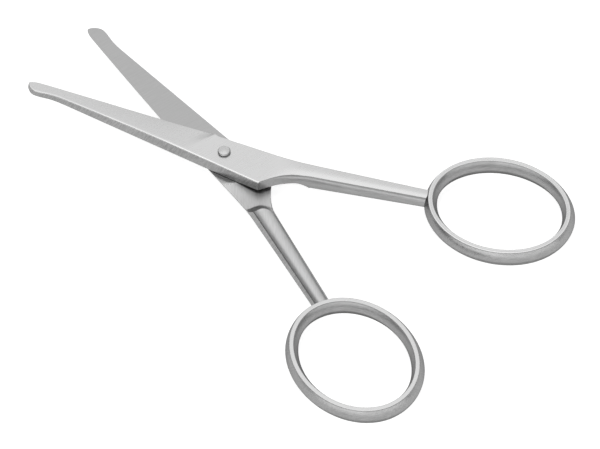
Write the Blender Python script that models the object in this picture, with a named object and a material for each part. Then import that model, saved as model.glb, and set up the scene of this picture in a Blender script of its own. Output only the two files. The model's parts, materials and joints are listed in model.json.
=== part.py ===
"""Nose hair scissors: two equal forged steel halves with bulb shaped safety tips, an oval finger ring on
each shank, and the rivet that they turn on.

One half is drawn in its own frame: the pivot axis is z, the joint plane is z = 0, the blade points to -x,
the ring lies at +x, the cutting edge is on the +y side and the spine on the -y side. The front half stands
on that plane. The rear half is the same shape turned over about x. Both are then turned apart about z.
"""

import math

import bmesh
import bpy
import numpy as np

# Opening of the scissors, all lengths in metres
HALF_OPENING = math.radians(12.0)  # each half is turned this far from the centre line
JOINT_GAP = 0.0001  # between the two inner faces

# Blade, with lengths from the pivot axis
BLADE_LENGTH = 0.0389
EDGE_AT_PIVOT = 0.0040  # cutting edge line beside the pivot, from the half's centre line
EDGE_AT_TIP = 0.00095
EDGE_BELLY = 0.00012  # how far the edge bows out between pivot and tip
EDGE_LAND = 0.00014  # thickness left at the cutting edge
SPINE_AT_PIVOT = 0.00337
SPINE_AT_TIP = 0.00083
BULB_SWELL = 0.0007  # the safety tip's bulge beyond the line of the spine
BULB_BACK = 0.0020  # its crest, behind the tip
BULB_REACH = 0.0027
NOSE_LENGTH = 0.0021  # the rounded end of the tip
NOSE_MIDDLE = 0.0003  # its foremost point, from the centre line
TIP_THICKNESS = 0.00095
TAPER_START = 0.010  # the blade thins from here to the tip
BEVEL_LAND = 0.35  # share of the blade's width that stays flat along the spine
SPINE_DRAFT = 0.23  # lean of the spine wall, sideways per height
EDGE_SIDE_DRAFT = 0.45

# Tang round the pivot
TANG_THICKNESS = 0.0019  # from the joint plane to the outer face
TANG_SIDE_AT_PIVOT = 0.0036  # the +y side, beside the pivot
TANG_SIDE_FLARE = 0.05  # sideways per length
PLUNGE = 0.0036  # where the blade's ground bevel ends, near the edge
PLUNGE_Y = 0.0028  # at this distance from the centre line
PLUNGE_SLANT = 0.96  # its line's slant towards the tip, lengthways per sideways
PLUNGE_RUN = 0.0026  # length over which the bevel fades in
PLUNGE_STEP = 0.0012  # length of the small step from the edge line in to the tang's side
HEEL = 0.0084  # the corner behind the pivot on the spine side
HEEL_SCOOP = 0.0075  # length of the hollow curve from the heel to the shank
SCOOP_LEAN = 0.00025  # extra lean of the scoop's wall at its middle
WAIST_BLEND = 0.00015  # rounding where the tang's side runs into the shank's
RIDE_RADIUS = 0.0054  # flat bearing face round the pivot
HOLLOW_DEPTH = 0.00022  # relief between the ride and the shoulder
SHOULDER_RADIUS = 0.0122  # where the inner face climbs to the shank
SHOULDER_TURN = 0.0018  # how far the shoulder bends away towards the inner side
SHOULDER_RUN = 0.0016

# Shank
SHANK_ROOT_X = 0.0145
SHANK_ROOT_Y = 0.00268
SHANK_ROOT_WIDTH = 0.00376
SHANK_END_WIDTH = 0.0030
SHANK_ROOT_HEIGHT = 0.00345
SHANK_END_HEIGHT = 0.00276
SHANK_SIDE_BULGE = 0.0006
OUTER_CROWN = 0.00016
INNER_CROWN = 0.0003

# Finger ring, an oval band with barrel shaped walls
RING_X = 0.04726
RING_Y = 0.00974
RING_TILT = math.radians(3.7)
RING_HOLE_LONG = 0.01147  # half axes of the hole at the band's flat faces
RING_HOLE_SHORT = 0.00906
RING_FACE_WIDTH = 0.00085
RING_INNER_BULGE = 0.00065
RING_OUTER_BULGE = 0.0007
RING_HEIGHT = 0.0034
SEAM_GAP = 0.00015  # between the shank's end and the ring
SHANK_AIM = 0.0004  # the shank's centre line passes the ring's centre by this, on the inner side

# Rivet
PIN_RADIUS = 0.0008
PIN_CLEARANCE = 0.00004
HEAD_RADIUS = 0.0011
HEAD_HEIGHT = 0.0005
HEAD_CHAMFER = 0.00022
TAIL_RADIUS = 0.0013
TAIL_HEIGHT = 0.0003
TAIL_CHAMFER = 0.00015
HEAD_GAP = 0.00006  # under the head and the tail, so that the halves turn

ROUND_SEGMENTS = 48
RING_SEGMENTS = 64
SECTION_STEP = 0.002  # spacing of the sections on the plain stretches


def smooth(t):
    """0 to 1 with level ends."""
    t = min(1.0, max(0.0, t))
    return t * t * (3 - 2 * t)


def remove_everything():
    for obj in list(bpy.data.objects):
        bpy.data.objects.remove(obj)


def steel(name, colour, roughness):
    material = bpy.data.materials.new(name)
    material.use_nodes = True
    shader = material.node_tree.nodes["Principled BSDF"]
    shader.inputs["Base Color"].default_value = (*colour, 1)
    shader.inputs["Metallic"].default_value = 1.0
    shader.inputs["Roughness"].default_value = roughness
    material.diffuse_color = (*colour, 1)
    return material


def add_object(name, bm, material, parent):
    """Make a named object of the bmesh, with smooth shading that stops at the real edges."""
    bmesh.ops.recalc_face_normals(bm, faces=bm.faces)
    mesh = bpy.data.meshes.new(name)
    bm.to_mesh(mesh)
    bm.free()
    mesh.shade_smooth()
    mesh.set_sharp_from_angle(angle=math.radians(28))
    mesh.materials.append(material)
    obj = bpy.data.objects.new(name, mesh)
    bpy.context.scene.collection.objects.link(obj)
    obj.parent = parent
    return obj


def add_empty(name, location, rotation, parent=None):
    empty = bpy.data.objects.new(name, None)
    empty.empty_display_size = 0.005
    bpy.context.scene.collection.objects.link(empty)
    empty.parent = parent
    empty.location = location
    empty.rotation_euler = rotation
    return empty


def cut(obj, cutter):
    """Cut one object from another. The cutter stays in the scene as a hidden wire."""
    cutter.hide_render = True
    cutter.display_type = "WIRE"
    modifier = obj.modifiers.new("cut_" + cutter.name, "BOOLEAN")
    modifier.operation = "DIFFERENCE"
    modifier.solver = "EXACT"
    modifier.object = cutter


def loft(loops):
    """A closed skin through equal loops of points, with a cap at each end."""
    bm = bmesh.new()
    rows = [[bm.verts.new(point) for point in loop] for loop in loops]
    for near, far in zip(rows, rows[1:]):
        for i in range(len(near)):
            j = (i + 1) % len(near)
            bm.faces.new((near[i], near[j], far[j], far[i]))
    bm.faces.new(rows[0])
    bm.faces.new(rows[-1])
    return bm


# Plan of one half


def edge_line(x):
    """The cutting edge: a straight run from pivot to tip, bowed out a little."""
    u = -x / BLADE_LENGTH
    return EDGE_AT_PIVOT + (EDGE_AT_TIP - EDGE_AT_PIVOT) * u + 4 * EDGE_BELLY * u * (1 - u)


def spine_line(x):
    """The back of the blade and tang, with the bulb of the safety tip."""
    u = -x / BLADE_LENGTH
    straight = SPINE_AT_PIVOT + (SPINE_AT_TIP - SPINE_AT_PIVOT) * u
    from_crest = (x + BLADE_LENGTH - BULB_BACK) / BULB_REACH
    return -straight - BULB_SWELL * math.exp(-from_crest * from_crest)


def nose_share(x):
    """1 on the blade, falling to 0 along a quarter circle over the rounded nose."""
    u = max(0.0, (NOSE_LENGTH - BLADE_LENGTH - x) / NOSE_LENGTH)
    return math.sqrt(max(0.0, 1 - u * u))


def shank_middle(x):
    """The shank's centre line runs from its root past the ring's centre."""
    slope = (RING_Y - SHANK_AIM - SHANK_ROOT_Y) / (RING_X - SHANK_ROOT_X)
    return SHANK_ROOT_Y + slope * (x - SHANK_ROOT_X)


def along_shank(x):
    """0 at the shank's root, 1 where it meets the ring."""
    return (x - SHANK_ROOT_X) / (ring_near_side() - SHANK_ROOT_X)


def ring_near_side():
    return RING_X - RING_HOLE_LONG - RING_FACE_WIDTH - RING_OUTER_BULGE


def shank_half_width(x):
    u = max(-1.0, along_shank(x))
    return (SHANK_ROOT_WIDTH + (SHANK_END_WIDTH - SHANK_ROOT_WIDTH) * u) / 2


def high_side(x):
    """The +y outline: cutting edge, a short step in at the plunge, tang, then the shank's outer side."""
    tang = TANG_SIDE_AT_PIVOT + TANG_SIDE_FLARE * x
    shank = shank_middle(x) + shank_half_width(x)
    behind = (tang + shank + math.hypot(tang - shank, WAIST_BLEND)) / 2
    step = smooth((x + PLUNGE) / PLUNGE_STEP)
    return edge_line(x) + (behind - edge_line(x)) * step


def low_side(x):
    """The -y outline: spine to the heel, then a hollow curve that runs out into the shank's inner side."""
    if x <= HEEL:
        return spine_line(x)
    shank = shank_middle(x) - shank_half_width(x)
    at_heel = shank_middle(HEEL) - shank_half_width(HEEL) - spine_line(HEEL)
    left = max(0.0, 1 - (x - HEEL) / HEEL_SCOOP)
    return shank - at_heel * left * left


def plan(x):
    """Both outlines at x, drawn together over the rounded nose."""
    share = nose_share(x)
    low = NOSE_MIDDLE + (low_side(x) - NOSE_MIDDLE) * share
    high = NOSE_MIDDLE + (high_side(x) - NOSE_MIDDLE) * share
    return low, high


# Heights of one half


def outer_height(x):
    """Height of the outer face at the spine: thin at the tip, full at the tang, falling along the shank."""
    if x < -TAPER_START:
        u = (-x - TAPER_START) / (BLADE_LENGTH - TAPER_START)
        blade = TANG_THICKNESS - (TANG_THICKNESS - TIP_THICKNESS) * u**1.3
        return blade * math.sqrt(nose_share(x))
    shank = (SHANK_ROOT_HEIGHT + (SHANK_END_HEIGHT - SHANK_ROOT_HEIGHT) * along_shank(x)) / 2
    return TANG_THICKNESS + (shank - TANG_THICKNESS) * smooth((x - HEEL) / (SHANK_ROOT_X - HEEL))


def in_shank(x):
    """0 on the tang, 1 on the shank, where the section is a barrel."""
    return smooth((x - HEEL) / (SHANK_ROOT_X - HEEL))


def side_inset(side, x, z):
    """How far the wall on one side (-1 or 1) stands in from the outline at height z."""
    share = in_shank(x)
    rise = z / outer_height(x)
    draft = SPINE_DRAFT if side < 0 else EDGE_SIDE_DRAFT
    scoop = 4 * SCOOP_LEAN * share * (1 - share) if side < 0 else 0.0
    return draft * abs(z) * (1 - share) + SHANK_SIDE_BULGE * rise**2 * share + scoop * max(0.0, rise)


def bevel_share(x, y):
    """0 on the tang, rising to 1 past the slanted plunge line."""
    line = -PLUNGE - PLUNGE_SLANT * (PLUNGE_Y - y)
    return math.sqrt(min(1.0, max(0.0, (line - x) / PLUNGE_RUN)))


def outer_face(x, y, low, high):
    """The outer face: flat on the tang, ground down to the cutting edge on the blade, crowned on the shank."""
    height = outer_height(x)
    flat_to = low + BEVEL_LAND * (high - low)
    across = min(1.0, max(0.0, (y - flat_to) / (high - flat_to)))
    ground = bevel_share(x, y) * (height - EDGE_LAND - JOINT_GAP / 2) * across**2
    from_middle = (2 * y - low - high) / (high - low)
    return height - ground - in_shank(x) * OUTER_CROWN * from_middle**2


def inner_face(x, y, low, high):
    """The inner face: flat at the blade and ride, hollow behind the ride, then up the shoulder to the shank."""
    flat = JOINT_GAP / 2
    radius = math.hypot(x, y)
    if x <= 0 or radius <= RIDE_RADIUS:
        return flat
    from_middle = (2 * y - low - high) / (high - low)
    shoulder = SHOULDER_RADIUS + SHOULDER_TURN * min(0.0, from_middle) ** 2
    if radius < shoulder:
        u = (radius - RIDE_RADIUS) / (shoulder - RIDE_RADIUS)
        return flat + HOLLOW_DEPTH * math.sin(math.pi * u) ** 0.7
    crowned = outer_height(x) - INNER_CROWN * from_middle**2
    return flat - (flat + crowned) * smooth((radius - shoulder) / SHOULDER_RUN)


def section(x):
    """One loop of points across the half at x: inner face, high wall, outer face, low wall."""
    low, high = plan(x)
    most = 0.38 * (high - low)

    def wall(side, z):
        inset = min(most, side_inset(side, x, z))
        return low + inset if side < 0 else high - inset

    def top_of(side):
        """Where a side wall meets the outer face, found by going back and forth between them."""
        top = outer_height(x)
        for _ in range(4):
            top = outer_face(x, wall(side, top), wall(-1, top), wall(1, top))
        return top

    def wall_points(side, start, end):
        heights = [start + (end - start) * share for share in (0.25, 0.5, 0.75)]
        return [(wall(side, z), z) for z in heights]

    low_bottom, high_bottom = inner_face(x, low, low, high), inner_face(x, high, low, high)
    low_top, high_top = top_of(-1), top_of(1)
    below = np.linspace(wall(-1, low_bottom), wall(1, high_bottom), 9)
    left, right = wall(-1, low_top), wall(1, high_top)
    loop = [(y, inner_face(x, y, low, high)) for y in below]
    loop += wall_points(1, high_bottom, high_top)
    loop += [(y, outer_face(x, y, left, right)) for y in np.linspace(right, left, 9)]
    loop += wall_points(-1, low_top, low_bottom)
    lean = SPINE_DRAFT * max(0.0, 1 - (x + BLADE_LENGTH) / (1.5 * NOSE_LENGTH))
    return [(x + lean * z, y, z) for y, z in loop]


def stations():
    """Places along x for the sections, close together where the shape changes fast."""
    nose = -BLADE_LENGTH + NOSE_LENGTH * (1 - np.sin(np.radians([83, 70, 57, 44, 31, 18, 0])))
    nose_end = -BLADE_LENGTH + NOSE_LENGTH
    bevel_end = -PLUNGE - 4 * PLUNGE_RUN
    scoop_end = HEEL + HEEL_SCOOP
    blade = np.arange(nose_end + 0.6 * SECTION_STEP, bevel_end, 0.85 * SECTION_STEP)
    plunge = np.linspace(bevel_end, -PLUNGE + 1.2 * PLUNGE_STEP, 18)
    tang = np.linspace(-PLUNGE + 2.3 * PLUNGE_STEP, HEEL, 7)
    scoop = np.linspace(HEEL, scoop_end, 20)[1:]
    shank = np.arange(scoop_end + SECTION_STEP, ring_near_side() + 2 * SECTION_STEP, 1.1 * SECTION_STEP)
    return np.concatenate([nose, blade, plunge, tang, scoop, shank])


def add_half(name, material, parent):
    """Blade, tang and shank in one piece, bored for the rivet and cut to sit on the ring."""
    half = add_object(name, loft([section(float(x)) for x in stations()]), material, parent)
    bore = bmesh.new()
    bmesh.ops.create_cone(
        bore, cap_ends=True, segments=ROUND_SEGMENTS, radius1=PIN_RADIUS + PIN_CLEARANCE,
        radius2=PIN_RADIUS + PIN_CLEARANCE, depth=4 * TANG_THICKNESS,
    )
    cut(half, add_object(name + "_bore", bore, material, parent))
    seat = [ring_loop(RING_FACE_WIDTH + RING_OUTER_BULGE * (1 - s * s) + SEAM_GAP, s * RING_HEIGHT / 2)
            for s in np.linspace(-1, 1, 9)]
    below = [(x, y, z - TANG_THICKNESS) for x, y, z in seat[0]]
    above = [(x, y, z + TANG_THICKNESS) for x, y, z in seat[-1]]
    cut(half, add_object(name + "_seat", loft([below, *seat, above]), material, parent))
    return half


def ring_loop(offset, z):
    """An oval round the finger hole, the given distance outside the hole's edge at the flat face."""
    loop = []
    for angle in np.linspace(0, 2 * math.pi, RING_SEGMENTS, endpoint=False):
        u = (RING_HOLE_LONG + offset) * math.cos(angle)
        v = (RING_HOLE_SHORT + offset) * math.sin(angle)
        x = RING_X + u * math.cos(RING_TILT) - v * math.sin(RING_TILT)
        y = RING_Y + u * math.sin(RING_TILT) + v * math.cos(RING_TILT)
        loop.append((x, y, z))
    return loop


def add_ring(name, material, parent):
    """An oval band: flat above and below, both walls bulging like a barrel."""
    levels = np.linspace(-1, 1, 7)
    outer = [(RING_FACE_WIDTH + RING_OUTER_BULGE * (1 - s * s), s) for s in levels]
    inner = [(-RING_INNER_BULGE * (1 - s * s), s) for s in levels[::-1]]
    loops = [ring_loop(offset, s * RING_HEIGHT / 2) for offset, s in outer + inner]
    bm = bmesh.new()
    rows = [[bm.verts.new(point) for point in loop] for loop in loops]
    for near, far in zip(rows, rows[1:] + rows[:1]):
        for i in range(RING_SEGMENTS):
            j = (i + 1) % RING_SEGMENTS
            bm.faces.new((near[i], near[j], far[j], far[i]))
    return add_object(name, bm, material, parent)


def add_rivet(name, material, parent):
    """A turned pin with a chamfered head on the front and a lower formed tail at the back."""
    head, tail = TANG_THICKNESS + HEAD_GAP, -TANG_THICKNESS - HEAD_GAP
    profile = [
        (TAIL_RADIUS - TAIL_CHAMFER, tail - TAIL_HEIGHT),
        (TAIL_RADIUS, tail - TAIL_HEIGHT + TAIL_CHAMFER),
        (TAIL_RADIUS, tail),
        (PIN_RADIUS, tail),
        (PIN_RADIUS, head),
        (HEAD_RADIUS, head),
        (HEAD_RADIUS, head + HEAD_HEIGHT - HEAD_CHAMFER),
        (HEAD_RADIUS - HEAD_CHAMFER * 0.4, head + HEAD_HEIGHT - HEAD_CHAMFER * 0.3),
        (HEAD_RADIUS - HEAD_CHAMFER, head + HEAD_HEIGHT),
    ]
    angles = np.linspace(0, 2 * math.pi, ROUND_SEGMENTS, endpoint=False)
    loops = [[(r * math.cos(a), r * math.sin(a), z) for a in angles] for r, z in profile]
    return add_object(name, loft(loops), material, parent)


def lowest_and_middle(objects):
    """The bounding box of the visible solids, as the middle in x and y and the lowest z."""
    bpy.context.view_layer.update()
    graph = bpy.context.evaluated_depsgraph_get()
    corners = []
    for obj in objects:
        evaluated = obj.evaluated_get(graph)
        mesh = evaluated.to_mesh()
        corners += [evaluated.matrix_world @ vertex.co for vertex in mesh.vertices]
        evaluated.to_mesh_clear()
    points = np.array(corners)
    low, high = points.min(axis=0), points.max(axis=0)
    return (low[0] + high[0]) / 2, (low[1] + high[1]) / 2, low[2]


def main():
    remove_everything()
    blade_steel = steel("blade_steel", (0.66, 0.66, 0.66), 0.36)
    ring_steel = steel("ring_steel", (0.64, 0.64, 0.64), 0.34)
    rivet_steel = steel("rivet_steel", (0.6, 0.6, 0.6), 0.3)

    root = add_empty("scissors", (0, 0, 0), (0, 0, 0))
    front = add_empty("front_half", (0, 0, 0), (0, 0, HALF_OPENING), root)
    rear = add_empty("rear_half", (0, 0, 0), (math.pi, 0, -HALF_OPENING), root)

    solids = [
        add_half("front_blade", blade_steel, front),
        add_ring("front_ring", ring_steel, front),
        add_half("rear_blade", blade_steel, rear),
        add_ring("rear_ring", ring_steel, rear),
        add_rivet("pivot_rivet", rivet_steel, root),
    ]
    x, y, z = lowest_and_middle(solids)
    root.location = (-x, -y, -z)


main()
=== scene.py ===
"""Nose hair scissors: two satin steel halves with bulb shaped tips and oval finger rings, half open on a
rivet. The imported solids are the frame, and every piece here is a finer skin of one of them."""

import json
import math

import bpy
import numpy as np
from mathutils import Matrix, Quaternion, Vector


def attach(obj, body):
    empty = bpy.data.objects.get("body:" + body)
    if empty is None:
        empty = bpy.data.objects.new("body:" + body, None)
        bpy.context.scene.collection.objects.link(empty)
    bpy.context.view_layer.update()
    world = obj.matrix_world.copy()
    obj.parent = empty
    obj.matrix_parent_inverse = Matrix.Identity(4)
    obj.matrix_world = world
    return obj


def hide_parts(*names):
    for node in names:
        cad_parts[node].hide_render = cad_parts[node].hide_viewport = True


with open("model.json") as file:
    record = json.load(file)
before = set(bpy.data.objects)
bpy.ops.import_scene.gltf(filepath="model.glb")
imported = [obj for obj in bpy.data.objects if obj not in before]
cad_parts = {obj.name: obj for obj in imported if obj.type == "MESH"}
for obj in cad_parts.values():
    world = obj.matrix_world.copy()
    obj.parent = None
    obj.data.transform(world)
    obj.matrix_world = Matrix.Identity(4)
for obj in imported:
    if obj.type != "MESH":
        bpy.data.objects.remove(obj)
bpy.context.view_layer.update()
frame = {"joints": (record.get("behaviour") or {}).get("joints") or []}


# The two halves
# Each is one forging of stainless steel: blade, tang and shank. It is ground flat on the joint side,
# ground down to a cutting edge on the other, and its walls are linished across with a coarse belt.

# A half is drawn in millimetres, with the pivot at the origin and its joint side down. Its tip points to -x,
# its spine and heel are on the low side of y, and its cutting edge is on the high side.
MM = 0.001
pivot = Vector(frame["joints"][0]["pos_m"])
HALF_OPENING = math.radians(12.0)

# The blade's outline and thickness
BLADE_LENGTH = 38.9
EDGE_AT_PIVOT, EDGE_AT_TIP, EDGE_BELLY = 4.0, 0.95, 0.12
SPINE_AT_PIVOT, SPINE_AT_TIP = 3.37, 0.83
BULB_SWELL, BULB_BACK, BULB_REACH = 0.7, 2.0, 2.7  # the safety tip's bulge beyond the spine
NOSE_LENGTH, NOSE_MIDDLE, NOSE_LEAN = 2.1, 0.3, 1.5  # the lean runs over so many nose lengths
TANG_THICKNESS, TIP_THICKNESS, TAPER_START, TAPER_POWER = 1.9, 0.95, 10.0, 1.3
SPINE_DRAFT, EDGE_DRAFT = 0.23, 0.45  # lean of the walls, sideways per height

# The ground bevel, the land that it leaves at the edge and the plunge line where it starts
JOINT_GAP, EDGE_LAND, TIP_LAND, LAND_START = 0.1, 0.14, 0.4, 14.0
BEVEL_LAND, BEVEL_CURVE = 0.1, 1.1
PLUNGE, PLUNGE_STEP = 3.6, 1.2
PLUNGE_LINE, PLUNGE_Y, PLUNGE_SLANT = 3.3, 2.8, 0.67
PLUNGE_RUN, PLUNGE_SHARE, LONG_RUN = 3.0, 0.72, 12.0

# The tang, with the flat ride round the pivot, the hollow behind it and the shoulder before the shank
TANG_SIDE, TANG_FLARE = 3.6, 0.05
HEEL, HEEL_SCOOP, SCOOP_LEAN, SCOOP_CLEAR, HEEL_BLEND, WAIST_BLEND = 8.4, 7.5, 0.35, 1.0, 0.2, 0.15
RIDE_RADIUS, HOLLOW_DEPTH, HOLLOW_POWER = 5.4, 0.22, 0.7
SHOULDER_RADIUS, SHOULDER_TURN, SHOULDER_BEND = 11.6, 1.08, 0.3
SHOULDER_RUN, SHOULDER_POWER = 2.1, 1.3
BORE_RADIUS = 0.84

# The shank, each pair of sizes at its root and at the ring
SHANK_ROOT_X, SHANK_ROOT_Y = 14.5, 2.68
SHANK_WIDTH, SHANK_HEIGHT = (3.84, 3.08), (3.45, 2.76)
SHANK_SIDE_BULGE, OUTER_CROWN, INNER_CROWN = 0.54, 0.17, 0.58
WALL_DRAFT, RIDGE_SOFTNESS = 0.45, 0.03
RING_X, RING_Y, SHANK_AIM = 47.26, 9.74, 0.4
RING_NEAR_SIDE, SHANK_IN_RING = 34.24, 1.1  # the ring wall's place, and how far the shank goes into it


def ease(t):
    """0 to 1 with level ends: three t squared less two t cubed."""
    t = np.clip(t, 0, 1)
    return t * t * (3 - 2 * t)


def soft_max(a, b, softness):
    """The larger of two lines, with their crossing rounded: half the sum of both and of their distance,
    which is softened as a hypotenuse."""
    return (a + b + np.hypot(a - b, softness)) / 2


def along_shank(x):
    """0 at the shank's root and 1 at the ring, in a straight line."""
    return (x - SHANK_ROOT_X) / (RING_NEAR_SIDE - SHANK_ROOT_X)


def in_shank(x):
    """0 up to the heel and 1 from the shank's root on, eased between them."""
    return ease((x - HEEL) / (SHANK_ROOT_X - HEEL))


def shank_middle(x):
    """A straight line from the shank's root to just inside the ring's centre."""
    rise = (RING_Y - SHANK_AIM - SHANK_ROOT_Y) / (RING_X - SHANK_ROOT_X)
    return SHANK_ROOT_Y + rise * (x - SHANK_ROOT_X)


def shank_half_width(x):
    """Half of the width, which falls in a straight line from the root to the ring."""
    at_root, at_ring = SHANK_WIDTH
    return (at_root + (at_ring - at_root) * np.maximum(-1, along_shank(x))) / 2


def spine_line(x):
    """A straight line on the low side, from beside the pivot to the tip."""
    return -(SPINE_AT_PIVOT - (SPINE_AT_TIP - SPINE_AT_PIVOT) * x / BLADE_LENGTH)


def nose_share(x):
    """1 on the blade, then a quarter circle down to 0 at the tip."""
    u = np.maximum(0, (NOSE_LENGTH - BLADE_LENGTH - x) / NOSE_LENGTH)
    return np.sqrt(np.maximum(0, 1 - u * u))


def half_plan(x):
    """Low and high outline at x. Low is the spine's line with a Gaussian bulge at the tip, then the heel and
    a parabolic scoop to the shank, which is kept clear of the spine before the heel. High is the cutting
    edge, a line with a parabolic belly, then tang and shank. Both close in on the nose along a quarter
    circle."""
    spine = spine_line(x) - BULB_SWELL * np.exp(-(((x + BLADE_LENGTH - BULB_BACK) / BULB_REACH) ** 2))
    half_width = shank_half_width(x)
    drop = shank_middle(HEEL) - shank_half_width(HEEL) - spine_line(HEEL)
    left = np.maximum(0, 1 - (x - HEEL) / HEEL_SCOOP)
    scoop = shank_middle(x) - half_width - drop * left**2
    scoop = np.where(x <= HEEL - SCOOP_CLEAR, spine - SCOOP_CLEAR, scoop)
    low = soft_max(spine, scoop, HEEL_BLEND)
    u = -x / BLADE_LENGTH
    edge = EDGE_AT_PIVOT + (EDGE_AT_TIP - EDGE_AT_PIVOT) * u + 4 * EDGE_BELLY * u * (1 - u)
    behind = soft_max(TANG_SIDE + TANG_FLARE * x, shank_middle(x) + half_width, WAIST_BLEND)
    high = edge + (behind - edge) * ease((x + PLUNGE) / PLUNGE_STEP)
    share = nose_share(x)
    return NOSE_MIDDLE + (low - NOSE_MIDDLE) * share, NOSE_MIDDLE + (high - NOSE_MIDDLE) * share


def outer_height(x):
    """Height of the outer face: level on the tang, then a power curve to the tip, where the nose rounds it
    off. Behind the tang it eases into the shank's straight fall."""
    u = np.maximum(0, (-x - TAPER_START) / (BLADE_LENGTH - TAPER_START))
    blade = TANG_THICKNESS - (TANG_THICKNESS - TIP_THICKNESS) * u**TAPER_POWER
    at_root, at_ring = SHANK_HEIGHT
    shank = (at_root + (at_ring - at_root) * along_shank(x)) / 2
    behind = TANG_THICKNESS + (shank - TANG_THICKNESS) * in_shank(x)
    return np.where(x < -TAPER_START, blade * np.sqrt(nose_share(x)), behind)


def outer_face(x, y, low, high):
    """Flat on the tang and a parabolic arch on the shank. On the blade it falls to the edge with a power of
    the share across. The bevel's depth grows from the plunge line in a short parabola and a long eased run,
    and the land that it leaves at the edge thickens towards the tip."""
    height = outer_height(x)
    flat_to = low + BEVEL_LAND * (high - low)
    across = np.clip((y - flat_to) / (high - flat_to), 0, 1)
    past_line = -PLUNGE_LINE - PLUNGE_SLANT * (PLUNGE_Y - y) - x
    plunge = 1 - (1 - np.clip(past_line / PLUNGE_RUN, 0, 1)) ** 2
    bevel = PLUNGE_SHARE * plunge + (1 - PLUNGE_SHARE) * ease(past_line / LONG_RUN)
    land = EDGE_LAND + TIP_LAND * ease((-x - LAND_START) / (BLADE_LENGTH - LAND_START))
    ground = bevel * np.maximum(0, height - land - JOINT_GAP / 2) * across**BEVEL_CURVE
    from_middle = (2 * y - low - high) / (high - low)
    return height - ground - in_shank(x) * OUTER_CROWN * from_middle**2


def inner_face(x, y, low, high):
    """Flat on the blade and on the ride, a hollow behind the ride after a power of the sine, then a power
    curve of the distance from the pivot up to the shank's parabolic crown. The shoulder's line bends away
    from the pivot on the low side, along a hyperbola."""
    flat = JOINT_GAP / 2
    radius = np.hypot(x, y)
    from_middle = (2 * y - low - high) / (high - low)
    shoulder = SHOULDER_RADIUS + SHOULDER_TURN * (np.hypot(from_middle, SHOULDER_BEND) - from_middle)
    u = np.clip((radius - RIDE_RADIUS) / (shoulder - RIDE_RADIUS), 0, 1)
    hollow = flat + HOLLOW_DEPTH * np.sin(np.pi * u) ** HOLLOW_POWER
    crown = outer_height(x) - INNER_CROWN * from_middle**2
    up = np.clip((radius - shoulder) / SHOULDER_RUN, 0, 1) ** SHOULDER_POWER
    behind = np.where(radius < shoulder, hollow, flat - (flat + crown) * up)
    return np.where((x <= 0) | (radius <= RIDE_RADIUS), flat, behind)


def barrel(s):
    """A forged wall's inset, 0 at mid height and 1 at both rims: a share of the height, from the die's
    draft, and the rest of its square. The draft's two sides meet in a ridge, softened as a hypotenuse."""
    return WALL_DRAFT * (np.hypot(s, RIDGE_SOFTNESS) - RIDGE_SOFTNESS) + (1 - WALL_DRAFT) * s * s


MOST_INSET = 0.38  # of a wall, as a share of the half's width
TINY = 1e-6  # keeps a division off zero


def side_wall(side, x, z, low, high):
    """Leans in with height on the blade and tang, and swells like a barrel on the shank. The scoop leans in
    further, by a half ellipse between heel and shank."""
    share, rise = in_shank(x), z / np.maximum(outer_height(x), TINY)
    draft = SPINE_DRAFT if side < 0 else EDGE_DRAFT
    inset = draft * np.abs(z) * (1 - share) + SHANK_SIDE_BULGE * barrel(rise) * share
    if side < 0:
        inset = inset + 2 * SCOOP_LEAN * np.sqrt(share * (1 - share)) * np.maximum(0, rise)
    inset = np.minimum(inset, MOST_INSET * (high - low))
    return low + inset if side < 0 else high - inset


# A section's faces in order, and the corner that follows each
BELOW, HIGH_WALL, OUTER, LOW_WALL = range(4)
JOINT_HIGH, OUTER_HIGH, OUTER_LOW, JOINT_LOW = range(4, 8)

# The points on each face and on a corner, and the most that a corner takes of a face
FACE_POINTS, CORNER_POINTS, MOST_LEG = (40, 14, 66, 20), 7, 0.4
MEETING_ROUNDS = 6

# How far in mm each corner reaches on the face before it and on the face after it, at places along x
LEG_PLACES = [-BLADE_LENGTH, -PLUNGE, HEEL - 0.1, HEEL + 0.6, 11.5, SHANK_ROOT_X, RING_NEAR_SIDE]
CORNER_LEGS = [
    ([0.05, 0.05, 0.05, 0.05, 0.20, 0.40, 0.40], [0.05, 0.05, 0.05, 0.04, 0.10, 0.35, 0.35]),  # joint low
    ([0.02, 0.04, 0.20, 0.20, 0.20, 0.25, 0.25], [0.02, 0.04, 0.15, 0.15, 0.20, 0.30, 0.30]),  # joint high
    ([0.03, 0.06, 0.10, 0.10, 0.20, 0.30, 0.30], [0.03, 0.06, 0.10, 0.10, 0.30, 0.50, 0.50]),  # outer high
    ([0.35, 0.40, 0.35, 0.20, 0.22, 0.28, 0.30], [0.08, 0.08, 0.08, 0.35, 0.50, 0.90, 0.90]),  # outer low
]


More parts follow.
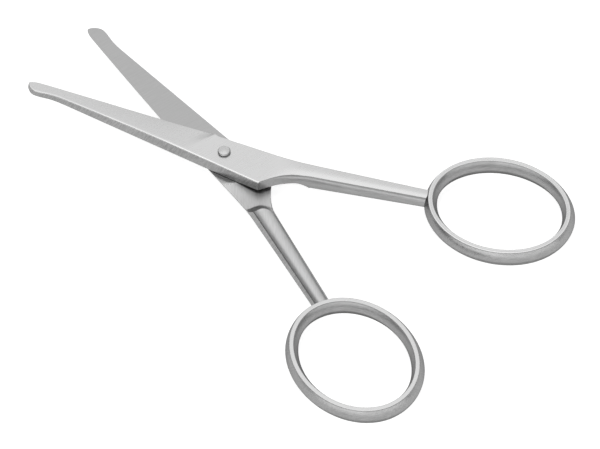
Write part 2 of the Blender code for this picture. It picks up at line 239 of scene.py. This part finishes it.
def half_grid(x):
    """Sections across the half at each x, as an array of (section, point, xyz), and each point's face or
    corner. A section is four faces with a quadratic Bezier arc over each corner between them. Walls and
    outer face meet where both agree, which is found in some rounds of setting each by the other. Near the
    tip the section leans back with height, by a share that grows in a straight line."""
    x = x[:, None]
    low, high = half_plan(x)
    low_bottom, high_bottom = inner_face(x, low, low, high), inner_face(x, high, low, high)
    low_top = high_top = outer_height(x)
    for _ in range(MEETING_ROUNDS):
        left, right = side_wall(-1, x, low_top, low, high), side_wall(1, x, high_top, low, high)
        low_top, high_top = outer_face(x, left, left, right), outer_face(x, right, left, right)
    start, end = side_wall(-1, x, low_bottom, low, high), side_wall(1, x, high_bottom, low, high)

    # Each face gives y and z at a share u of its way round the section. One of them runs in a straight line,
    # and the other is worked out from it.
    def below(u):
        y = start + (end - start) * u
        return y, inner_face(x, y, low, high)

    def high_wall(u):
        z = high_bottom + (high_top - high_bottom) * u
        return side_wall(1, x, z, low, high), z

    def outer(u):
        y = right + (left - right) * u
        return y, outer_face(x, y, left, right)

    def low_wall(u):
        z = low_top + (low_bottom - low_top) * u
        return side_wall(-1, x, z, low, high), z

    faces = [below, high_wall, outer, low_wall]
    legs = [[np.interp(x, LEG_PLACES, leg) for leg in pair] for pair in CORNER_LEGS]
    spans = []
    for k, face in enumerate(faces):
        (y0, z0), (y1, z1) = face(0.0), face(1.0)
        width = np.maximum(np.hypot(y1 - y0, z1 - z0), TINY)
        first = np.minimum(legs[k][1] / width, MOST_LEG)
        last = 1 - np.minimum(legs[(k + 1) % 4][0] / width, MOST_LEG)
        spans.append((first, last))
    parts, tags = [], []
    arc = np.linspace(0, 1, CORNER_POINTS + 2)[None, 1:-1]
    for k, face in enumerate(faces):
        first, last = spans[k]
        parts.append(face(first + (last - first) * np.linspace(0, 1, FACE_POINTS[k])[None]))
        following = (k + 1) % 4
        (ya, za), (yc, zc), (yb, zb) = face(last), face(1.0), faces[following](spans[following][0])
        parts.append(tuple((1 - arc) ** 2 * a + 2 * arc * (1 - arc) * c + arc**2 * b
                           for a, c, b in ((ya, yc, yb), (za, zc, zb))))
        tags += [BELOW + k] * FACE_POINTS[k] + [JOINT_HIGH + k] * CORNER_POINTS
    y = np.concatenate([np.broadcast_to(p[0], (len(x), p[0].shape[1])) for p in parts], axis=1)
    z = np.concatenate([np.broadcast_to(p[1], (len(x), p[1].shape[1])) for p in parts], axis=1)
    lean = SPINE_DRAFT * np.maximum(0, 1 - (x + BLADE_LENGTH) / (NOSE_LEAN * NOSE_LENGTH))
    return np.stack([x + lean * z, y, z], axis=2), np.array(tags)


def skin(name, rows, wrap=False, slots=0):
    """A mesh from an array of (row, point, xyz) in metres. Each row is a closed loop. The rows join end to
    end when wrap is set, and otherwise a fan to the middle of the first and last row closes them. Slots are
    the quads' material numbers."""
    count, around = rows.shape[:2]
    i = np.arange(count if wrap else count - 1)[:, None] * around
    ahead = (i + around) % (count * around)
    j = np.arange(around)
    after = (j + 1) % around
    faces = np.stack([i + j, i + after, ahead + after, ahead + j], axis=2).reshape(-1, 4).tolist()
    slots = np.broadcast_to(slots, (len(i), around)).ravel().tolist()
    verts = rows.reshape(-1, 3).tolist()
    if not wrap:
        verts += [rows[0].mean(axis=0).tolist(), rows[-1].mean(axis=0).tolist()]
        last = (count - 1) * around
        faces += np.stack([after, j, np.full(around, count * around)], axis=1).tolist()
        faces += np.stack([last + j, last + after, np.full(around, count * around + 1)], axis=1).tolist()
        slots += [0] * (2 * around)
    mesh = bpy.data.meshes.new(name)
    mesh.from_pydata(verts, [], faces)
    mesh.polygons.foreach_set("material_index", slots)
    mesh.shade_smooth()
    mesh.update()
    piece = bpy.data.objects.new(name, mesh)
    bpy.context.scene.collection.objects.link(piece)
    return piece


def place_half(points, rear):
    """From a half's own millimetres to the frame: the rear half is turned over, both are opened."""
    turn = Matrix.Rotation(-HALF_OPENING if rear else HALF_OPENING, 3, "Z")
    if rear:
        turn = turn @ Matrix.Rotation(math.pi, 3, "X")
    return points @ np.array(turn).T * MM + np.array(pivot)


def half_stations():
    """Where the sections are: by equal angles on the nose, then by equal steps in spans, which are close at
    the plunge line and round the scoop and shoulder."""
    nose = -BLADE_LENGTH + NOSE_LENGTH * (1 - np.sin(np.radians(np.linspace(88, 0, 26))))
    spans = [  # from, to and steps
        (-BLADE_LENGTH + NOSE_LENGTH, -14, 74),
        (-14, -1.5, 120),
        (-1.5, HEEL - 0.4, 44),
        (HEEL - 0.4, HEEL, 10),
        (HEEL, 17, 140),
        (17, RING_NEAR_SIDE + SHANK_IN_RING, 60),
    ]
    return np.concatenate([nose] + [np.linspace(a, b, n + 1)[1:] for a, b, n in spans])


BAR_SIDES, BAR_REACH, SHARP_ANGLE = 64, 4.0, math.radians(55)


def drill(piece):
    """Cut the rivet's bore with a round bar: an exact boolean, applied, with the bore's rims kept sharp."""
    turn = np.linspace(0, 2 * np.pi, BAR_SIDES, endpoint=False)
    ring = np.stack([np.cos(turn), np.sin(turn), 0 * turn], axis=1) * BORE_RADIUS
    reach = np.array([0, 0, BAR_REACH])
    bar = skin("bar", np.stack([ring - reach, ring + reach]) * MM + np.array(pivot))
    cut = piece.modifiers.new("bore", "BOOLEAN")
    cut.operation, cut.object, cut.solver = "DIFFERENCE", bar, "EXACT"
    bpy.context.view_layer.objects.active = piece
    bpy.ops.object.modifier_apply(modifier=cut.name)
    bpy.data.objects.remove(bar)
    piece.data.set_sharp_from_angle(angle=SHARP_ANGLE)


def linear(text):
    """An sRGB hex colour as linear red, green, blue and alpha, by the sRGB curve."""
    values = np.array([int(text[i:i + 2], 16) for i in (1, 3, 5)]) / 255
    values = np.where(values <= 0.04045, values / 12.92, ((values + 0.055) / 1.055) ** 2.4)
    return (*values.tolist(), 1.0)


def add_node(tree, kind, settings=None, links=None):
    """Add a node. Settings go to its sockets by name or number, or to its attributes, and links to its
    sockets from other nodes' outputs."""
    node = tree.nodes.new(kind)
    for key, value in (settings or {}).items():
        if isinstance(key, str) and hasattr(node, key) and key not in node.inputs:
            setattr(node, key, value)
        else:
            node.inputs[key].default_value = value
    for key, source in (links or {}).items():
        tree.links.new(source, node.inputs[key])
    return node


# The broad unevenness of hand work: its size in mm and its share beside the streaks. The last is how far
# noise strays from its middle.
PATCH, PATCH_SHARE, NOISE_REACH = 6.0, 0.35, 0.2


def belt_finish(name, colours, roughness, streak, turn, relief, edge=1.0):
    """Steel worked with a belt. Noise is stretched to streaks of a length, breadth and depth in mm, in a
    frame turned by three angles in degrees. It spreads the colour between two hex values and the roughness
    between two numbers, and its relief in mm bends the light. A broad noise shifts colour and roughness a
    little, as hand work does. Edge is the tint at glancing angles, where rough steel falls short of a
    mirror."""
    material = bpy.data.materials.new(name)
    material.use_nodes = True
    tree = material.node_tree
    shader = tree.nodes["Principled BSDF"]
    shader.inputs["Metallic"].default_value = 1
    shader.inputs["Specular Tint"].default_value = (edge, edge, edge, 1)
    place = add_node(tree, "ShaderNodeTexCoord")
    along = add_node(tree, "ShaderNodeMapping",
                     {"vector_type": "TEXTURE", "Rotation": [math.radians(a) for a in turn],
                      "Scale": [size * MM for size in streak]}, {"Vector": place.outputs["Object"]})
    streaks = add_node(tree, "ShaderNodeTexNoise", {"Scale": 1.0, "Detail": 2.5, "Roughness": 0.6},
                       {"Vector": along.outputs["Vector"]})
    broad = add_node(tree, "ShaderNodeTexNoise", {"Scale": 1 / (PATCH * MM), "Detail": 1.0},
                     {"Vector": place.outputs["Object"]})
    both = add_node(tree, "ShaderNodeMath", {"operation": "MULTIPLY_ADD", 1: PATCH_SHARE},
                    {0: broad.outputs["Fac"], 2: streaks.outputs["Fac"]})
    middle = 0.5 + PATCH_SHARE / 2
    tone = add_node(tree, "ShaderNodeMapRange", {1: middle - NOISE_REACH, 2: middle + NOISE_REACH},
                    {0: both.outputs[0]})
    colour = add_node(tree, "ShaderNodeMix",
                      {"data_type": "RGBA", 6: linear(colours[0]), 7: linear(colours[1])},
                      {0: tone.outputs[0]})
    rough = add_node(tree, "ShaderNodeMapRange", {3: roughness[0], 4: roughness[1]}, {0: tone.outputs[0]})
    bump = add_node(tree, "ShaderNodeBump", {"Strength": 1.0, "Distance": relief * MM},
                    {"Height": streaks.outputs["Fac"]})
    tree.links.new(colour.outputs[2], shader.inputs["Base Color"])
    tree.links.new(rough.outputs[0], shader.inputs["Roughness"])
    tree.links.new(bump.outputs["Normal"], shader.inputs["Normal"])
    return material


# Satin stainless steel: brushed with a fine belt, then a soft wheel. Even and pale, with a faint grain that
# lies across the blades. Its lines are far finer in life and are drawn at 0.26 mm to show.
satin = belt_finish("satin_stainless", ("#cccccc", "#d1d1d1"), (0.26, 0.31),
                    (5.0, 0.26, 0.26), (0, 0, 74), 0.0004, 0.8)

# Linished stainless steel: the forged walls are taken down with a coarse belt that runs up them, leaving
# clear slanting streaks. Its colour is painted shade, darker than the faces, for the dim surroundings that
# the walls mirror. Grit lines are finer in life and are drawn at 0.17 mm to show.
linished_shaded = belt_finish("linished_shaded_stainless", ("#8a8a8a", "#acacac"), (0.23, 0.28),
                       (1.6, 0.6, 0.17), (0, -62, 0), 0.0016, 0.8)

# Ground stainless steel: the joint sides come straight from the surface grinder. Greyer and rougher, with
# grinding lines across the blade, drawn at 0.22 mm to show.
ground = belt_finish("ground_stainless", ("#b0b0b0", "#b9b9b9"), (0.38, 0.45),
                     (4.0, 0.22, 0.22), (0, 0, 74), 0.0013)

# Milled stainless steel: the hollow behind the ride, the shoulder and the shank's joint side are cut by a
# small cutter and only brushed over. Its lines are short and drawn at 0.2 mm, and the light breaks on them.
milled = belt_finish("milled_stainless", ("#bababa", "#cacaca"), (0.3, 0.36),
                     (2.4, 0.2, 0.2), (0, 0, -50), 0.002, 0.8)

# Brushed stainless steel: the scoop behind the heel and the wall that runs on from it are done on a small
# round wheel. Its lines, drawn at 0.2 mm, follow the front shank, and it is duller than the linished walls.
# Its colour, darker than the faces, is painted shade as on the linished walls.
brushed_shaded = belt_finish("brushed_shaded_stainless", ("#9e9e9e", "#acacac"), (0.31, 0.36),
                      (3.0, 0.2, 0.2), (0, 0, 23.5), 0.001, 0.8)

# Burnished stainless steel: edges that hands and cloths rub over are smoother, and their paler colour is a
# painted highlight that shows them as thin bright lines.
burnished_highlight = belt_finish("burnished_highlight_stainless", ("#dadada", "#e2e2e2"), (0.17, 0.21),
                        (4.0, 0.3, 0.3), (0, 0, 12), 0.0003, 0.9)

# Lapped stainless steel: the ride round the rivet is rubbed smooth by the other half, so it mirrors what
# lies close to it. Its colour, a little darker than the ground steel, is painted shade for the ride's place
# under the front half.
lapped_shaded = belt_finish("lapped_shaded_stainless", ("#a8a8a8", "#b2b2b2"), (0.15, 0.19),
                     (4.0, 0.22, 0.22), (0, 0, 74), 0.0004)

half_finishes = (satin, linished_shaded, ground, milled, brushed_shaded, burnished_highlight, lapped_shaded)
SATIN, LINISHED_SHADED, GROUND, MILLED, BRUSHED_SHADED, BURNISHED_HIGHLIGHT, LAPPED_SHADED = range(len(half_finishes))

rows, tags = half_grid(half_stations())

# A quad takes its finish from the face or corner that its first point is on, and from where that point lies
x, y = rows[:-1, :, 0], rows[:-1, :, 1]
# Walls take the linished steel, whose darker colour is painted shade, and so do the shank's joint corners
# below.
finish = np.where(tags == BELOW, GROUND, np.where(np.isin(tags, (HIGH_WALL, LOW_WALL)), LINISHED_SHADED, SATIN))
# The ride takes the lapped steel, with a little painted shade.
finish = np.where((x > 0) & (tags == BELOW), LAPPED_SHADED, finish)
finish = np.where((x > 0) & (tags == BELOW) & (np.hypot(x, y) > RIDE_RADIUS), MILLED, finish)
finish = np.where((x > SHOULDER_RADIUS) & np.isin(tags, (JOINT_HIGH, JOINT_LOW)), LINISHED_SHADED, finish)
# Behind the heel the low wall and its top edge take the brushed steel, whose darker colour is painted shade.
finish = np.where((x > HEEL) & np.isin(tags, (LOW_WALL, OUTER_LOW)), BRUSHED_SHADED, finish)
# Before the heel the spine's top edge takes the burnished steel, a painted highlight.
finish = np.where((x <= HEEL) & (tags == OUTER_LOW), BURNISHED_HIGHLIGHT, finish)

for node, rear, body in (("front_blade", False, "front_half"), ("rear_blade", True, "rear_half")):
    piece = skin(node + "_skin", place_half(rows, rear), slots=finish)
    for material in half_finishes:
        piece.data.materials.append(material)
    drill(piece)
    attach(piece, body)
    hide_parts(node)


# The finger rings
# Oval bands of the same steel, flat above and below, with both walls swelling like a barrel. Each ends the
# shank in a sharp corner, and is linished across its walls.

RING_TILT = math.radians(3.7)
HOLE_LONG, HOLE_SHORT = 11.47, 9.06
FACE_WIDTH, INNER_BULGE, OUTER_BULGE, RING_HEIGHT = 0.85, 0.65, 0.69, 3.4
OUTER_RIM, INNER_RIM = (0.2, 0.12), (0.16, 0.14)  # how far the rounded rims reach over a face, down a wall
LINE_AT, LINE_HALF, LINE_REACH, LINE_DEPTH = 0.36, 0.12, 0.048, 0.014  # a fine line in the upper face

# The points on a wall, on a rim, across the fine line and round the ring, and the four finishes
WALL_POINTS, RIM_POINTS, LINE_POINTS, RING_STEPS = 33, 8, 9, 360
FACE, OUTSIDE, INSIDE, HIGHLIGHT_RIM = range(4)


def ring_grid():
    """The band's section carried round an oval, and each point's finish. The section is a barrel's wall
    outside, the upper face with a line cut as a Gaussian, a barrel's wall inside and the plain lower face."""
    half = RING_HEIGHT / 2
    t = np.linspace(0, 1, RIM_POINTS + 2)[1:-1]
    shares = np.stack([(1 - t) ** 2, 2 * t * (1 - t), t * t], axis=1)

    def rim(over, down, turn):
        """From a wall over to a face: a quadratic Bezier curve whose middle point is the sharp corner."""
        points = np.array([[turn, half - down], [turn, half], [turn + over, half]])
        return shares @ points

    s = np.linspace(-1, 1, WALL_POINTS)
    outer_rim = rim(-OUTER_RIM[0], OUTER_RIM[1], FACE_WIDTH)
    inner_rim = rim(INNER_RIM[0], INNER_RIM[1], 0.0)[::-1]
    outer = np.stack([FACE_WIDTH + OUTER_BULGE * (1 - barrel(s)), s * (half - OUTER_RIM[1])], axis=1)
    inner = np.stack([-INNER_BULGE * (1 - barrel(s)), -s * (half - INNER_RIM[1])], axis=1)
    line = LINE_AT + LINE_HALF * np.linspace(1, -1, LINE_POINTS)
    across = np.concatenate([[FACE_WIDTH - OUTER_RIM[0]], line, [INNER_RIM[0]]])
    depth = LINE_DEPTH * np.exp(-((across - LINE_AT) / LINE_REACH) ** 2)
    upper = np.concatenate([outer, outer_rim, np.stack([across, half - depth], axis=1), inner_rim])
    lower = np.concatenate([outer_rim, np.stack([across, half + 0 * across], axis=1), inner_rim])[::-1]
    profile = np.concatenate([upper, inner, lower * [1, -1]])

    # Half of each rim belongs to its wall, and on the upper side the other half takes the painted highlight
    half_rim = RIM_POINTS // 2
    outside_ends, inside_starts = WALL_POINTS + half_rim, len(upper) - half_rim
    finish = np.full(len(profile), FACE)
    finish[:outside_ends] = OUTSIDE
    finish[outside_ends:outside_ends + half_rim] = HIGHLIGHT_RIM
    finish[inside_starts - half_rim:inside_starts] = HIGHLIGHT_RIM
    finish[inside_starts:len(upper) + WALL_POINTS + half_rim] = INSIDE
    finish[-half_rim:] = OUTSIDE

    angle = np.linspace(2 * np.pi, 0, RING_STEPS, endpoint=False)[:, None]
    u = (HOLE_LONG + profile[:, 0]) * np.cos(angle)
    v = (HOLE_SHORT + profile[:, 0]) * np.sin(angle)
    x = RING_X + u * math.cos(RING_TILT) - v * math.sin(RING_TILT)
    y = RING_Y + u * math.sin(RING_TILT) + v * math.cos(RING_TILT)
    return np.stack([x, y, np.broadcast_to(profile[:, 1], x.shape)], axis=2), finish


# Linished ring steel: the belt meets the rings from one side as they are held to it. Its streaks, drawn at
# 0.2 mm to show, run across the band near the shank and along it at the ends of the oval. Its colour is
# painted shade, darker than the faces, for what the outer walls mirror.
ring_wall_shaded = belt_finish("linished_ring_shaded_stainless", ("#969696", "#aaaaaa"), (0.25, 0.3),
                        (3.0, 0.2, 0.2), (0, -11.4, 43), 0.0009, 0.5)

# Inner ring steel: inside the rings the same belt finish is a little rougher and more even, and it darkens at
# glancing angles. Its colour is painted shade, darker than the faces and paler than the outer walls, for what
# the inner walls mirror.
inner_ring_shaded = belt_finish("inner_ring_shaded_stainless", ("#9c9c9c", "#b0b0b0"), (0.3, 0.35),
                     (3.2, 0.2, 0.2), (0, -11.4, 43), 0.0007, 0.25)

rows, finish = ring_grid()
for node, rear, body in (("front_ring", False, "front_half"), ("rear_ring", True, "rear_half")):
    piece = skin(node + "_skin", place_half(rows, rear), wrap=True, slots=finish)
    for material in (satin, ring_wall_shaded, inner_ring_shaded, burnished_highlight):  # face, outside, inside and the rim's painted highlight
        piece.data.materials.append(material)
    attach(piece, body)
    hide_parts(node)


# The rivet
# A turned steel pin. Its domed head stands on the front half with a rounded rim, and its tail is formed
# lower and wider behind the rear half, where a punch has set it.

PIN_RADIUS, PIN_CORNER, HEAD_GAP = 0.8, 0.02, 0.06
HEAD_RADIUS, HEAD_HEIGHT, HEAD_RIM, HEAD_DOME = 1.1, 0.5, 0.2, 0.09
HEAD_CHAMFER, HEAD_CHAMFER_RISE = 0.12, 0.14
TAIL_RADIUS, TAIL_HEIGHT, TAIL_RIM, TAIL_CHAMFER = 1.3, 0.3, 0.15, 0.03

# How near the points come to the axis and to the tail's rim, and the numbers of points
NEAR_AXIS, NEXT_TO_AXIS, NEAR_RIM = 0.02, 0.1, 0.02
TAIL_POINTS, DOME_POINTS, RIM_STEPS, RIVET_SIDES = 6, 11, 9, 96


def rivet_grid():
    """A profile of radius and height, from the tail's middle over the pin to the head's parabolic dome, with
    quarter circles at the rims, turned about the pivot axis. The skin's fans close it at the axis."""
    quarter = np.radians(np.linspace(0, 90, RIM_STEPS))
    seat = TANG_THICKNESS + HEAD_GAP
    tail_flat, head_flat = TAIL_RADIUS - TAIL_RIM, HEAD_RADIUS - HEAD_RIM
    tail_end, head_end = -seat - TAIL_HEIGHT, seat + HEAD_HEIGHT - HEAD_DOME
    profile = [(NEAR_AXIS, tail_end)]
    profile += [(r, tail_end) for r in np.linspace(NEXT_TO_AXIS, tail_flat - NEAR_RIM, TAIL_POINTS)]
    profile += list(zip(tail_flat + TAIL_RIM * np.sin(quarter),
                        tail_end + TAIL_RIM * (1 - np.cos(quarter))))
    profile += [(TAIL_RADIUS, -seat - TAIL_CHAMFER), (TAIL_RADIUS - TAIL_CHAMFER, -seat)]
    profile += [(PIN_RADIUS + PIN_CORNER, -seat), (PIN_RADIUS, -seat + PIN_CORNER)]
    profile += [(PIN_RADIUS, seat - PIN_CORNER), (PIN_RADIUS + PIN_CORNER, seat)]
    profile += [(HEAD_RADIUS - HEAD_CHAMFER, seat), (HEAD_RADIUS, seat + HEAD_CHAMFER_RISE)]
    profile += list(zip(head_flat + HEAD_RIM * np.cos(quarter),
                        head_end - HEAD_RIM * (1 - np.sin(quarter))))
    radius = np.linspace(head_flat, NEAR_AXIS, DOME_POINTS + 1)[1:]
    profile += list(zip(radius, head_end + HEAD_DOME * (1 - (radius / head_flat) ** 2)))
    profile = np.array(profile)
    angle = np.linspace(0, 2 * np.pi, RIVET_SIDES, endpoint=False)
    x, y = profile[:, :1] * np.cos(angle), profile[:, :1] * np.sin(angle)
    return np.stack([x, y, np.broadcast_to(profile[:, 1:], x.shape)], axis=2)


# Turned stainless steel: a lathe leaves fine rings round the axis, drawn 0.2 mm apart to show, and the head
# is a little duller than the blades.
TURNING_SPACING, TURNING_DEPTH = 0.2, 0.002
turned = bpy.data.materials.new("turned_stainless")
turned.use_nodes = True
tree = turned.node_tree
shader = tree.nodes["Principled BSDF"]
shader.inputs["Metallic"].default_value = 1
place = add_node(tree, "ShaderNodeTexCoord")
centred = add_node(tree, "ShaderNodeMapping", {"Location": [-value for value in pivot]},
                   {"Vector": place.outputs["Object"]})
rings = add_node(tree, "ShaderNodeTexWave",
                 {"wave_type": "RINGS", "rings_direction": "Z", "Distortion": 0.4, "Detail": 1.0,
                  "Scale": math.pi / (10 * TURNING_SPACING * MM)}, {"Vector": centred.outputs["Vector"]})
colour = add_node(tree, "ShaderNodeMix", {"data_type": "RGBA", 6: linear("#b8b8b8"), 7: linear("#cbcbcb")},
                  {0: rings.outputs["Fac"]})
rough = add_node(tree, "ShaderNodeMapRange", {3: 0.2, 4: 0.28}, {0: rings.outputs["Fac"]})
bump = add_node(tree, "ShaderNodeBump", {"Strength": 1.0, "Distance": TURNING_DEPTH * MM},
                {"Height": rings.outputs["Fac"]})
tree.links.new(colour.outputs[2], shader.inputs["Base Color"])
tree.links.new(rough.outputs[0], shader.inputs["Roughness"])
tree.links.new(bump.outputs["Normal"], shader.inputs["Normal"])

piece = skin("pivot_rivet_skin", rivet_grid() * MM + np.array(pivot))
piece.data.materials.append(turned)
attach(piece, "rear_half")
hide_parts("pivot_rivet")


# The studio
# A white paper floor in a grey room. A large soft box behind lights the flat faces and a small one overhead
# fills in. A low soft box in front and a long strip reflector light the walls, and two weak soft boxes, at
# the side and beside the camera, open the shadows.

FLOOR_REACH, FLOOR_MIRRORED, FLOOR_SEEN = 4.0, 0.41, 0.66
floor_mesh = bpy.data.meshes.new("floor")
corners = np.array([[-1, -1, 0], [1, -1, 0], [1, 1, 0], [-1, 1, 0]]) * FLOOR_REACH
floor_mesh.from_pydata(corners.tolist(), [], [(0, 1, 2, 3)])
floor = bpy.data.objects.new("floor", floor_mesh)
bpy.context.scene.collection.objects.link(floor)

# White paper: matt, with the object's shadow on it. It is brought up to white for the camera, and part of
# the way for what the steel mirrors.
paper = bpy.data.materials.new("white_paper")
paper.use_nodes = True
tree = paper.node_tree
shader = tree.nodes["Principled BSDF"]
shader.inputs["Base Color"].default_value = (0.95, 0.95, 0.95, 1)
shader.inputs["Roughness"].default_value = 1
shader.inputs["Specular IOR Level"].default_value = 0
shader.inputs["Emission Color"].default_value = (1, 1, 1, 1)
path = add_node(tree, "ShaderNodeLightPath")
mirrored = add_node(tree, "ShaderNodeMath", {"operation": "MAXIMUM"},
                    {0: path.outputs["Is Glossy Ray"], 1: path.outputs["Is Transmission Ray"]})
mirrored = add_node(tree, "ShaderNodeMath", {"operation": "MULTIPLY", 1: FLOOR_MIRRORED},
                    {0: mirrored.outputs[0]})
glow = add_node(tree, "ShaderNodeMath", {"operation": "MULTIPLY_ADD", 1: FLOOR_SEEN},
                {0: path.outputs["Is Camera Ray"], 2: mirrored.outputs[0]})
tree.links.new(glow.outputs[0], shader.inputs["Emission Strength"])
floor.data.materials.append(paper)

world = bpy.data.worlds.new("room")
bpy.context.scene.world = world
world.use_nodes = True
world.node_tree.nodes["Background"].inputs["Color"].default_value = (0.26, 0.26, 0.26, 1)
world.node_tree.nodes["Background"].inputs["Strength"].default_value = 1.0
bpy.context.scene.view_settings.view_transform = "Standard"


def towards(azimuth, elevation):
    """The unit vector from the object to a place at two angles in degrees: round from the front, and up."""
    az, el = math.radians(azimuth), math.radians(elevation)
    return Vector((math.sin(az) * math.cos(el), -math.cos(az) * math.cos(el), math.sin(el)))


def soft_box(name, azimuth, elevation, distance, size, radiance):
    """A rectangular lamp that faces the object. Its power is radiance times pi times its area."""
    lamp = bpy.data.lights.new(name, "AREA")
    lamp.shape, lamp.size, lamp.size_y = "RECTANGLE", *size
    lamp.energy = radiance * math.pi * size[0] * size[1]
    box = bpy.data.objects.new(name, lamp)
    bpy.context.scene.collection.objects.link(box)
    box.location = pivot + towards(azimuth, elevation) * distance
    box.rotation_mode = "QUATERNION"
    box.rotation_quaternion = towards(azimuth, elevation).to_track_quat("Z", "Y")


soft_box("back_soft_box", -136, 50, 1.5, (1.5, 3.4), 0.76)
soft_box("overhead_soft_box", -118, 72, 1.2, (0.7, 0.6), 0.36)
soft_box("front_soft_box", 2, 28, 1.5, (1.6, 1.2), 0.47)
soft_box("front_reflector", 40, 9, 0.8, (4.4, 0.25), 1.4)
soft_box("side_soft_box", 115, 35, 1.5, (3.0, 1.8), 0.12)
soft_box("camera_side_soft_box", 42, 54, 1.5, (1.3, 0.8), 0.45)


# The camera
# It stands in front of the rings, to the right, and looks down at the scissors through a long lens.

AIM = Vector((19.22, -3.16, 0.0)) * MM
AZIMUTH, ELEVATION, ROLL = 43.405, 52.235, math.radians(-4.97)
DISTANCE, LENS, SENSOR_WIDTH = 0.6752, 240.67, 36

back = towards(AZIMUTH, ELEVATION)
camera = bpy.data.objects.new("camera", bpy.data.cameras.new("camera"))
bpy.context.scene.collection.objects.link(camera)
camera.location = pivot + AIM + back * DISTANCE
camera.rotation_mode = "QUATERNION"
camera.rotation_quaternion = (-back).to_track_quat("-Z", "Y") @ Quaternion((0, 0, 1), ROLL)
camera.data.lens = LENS
camera.data.sensor_width = SENSOR_WIDTH
camera.data.clip_start, camera.data.clip_end = 0.01, 10
bpy.context.scene.camera = camera
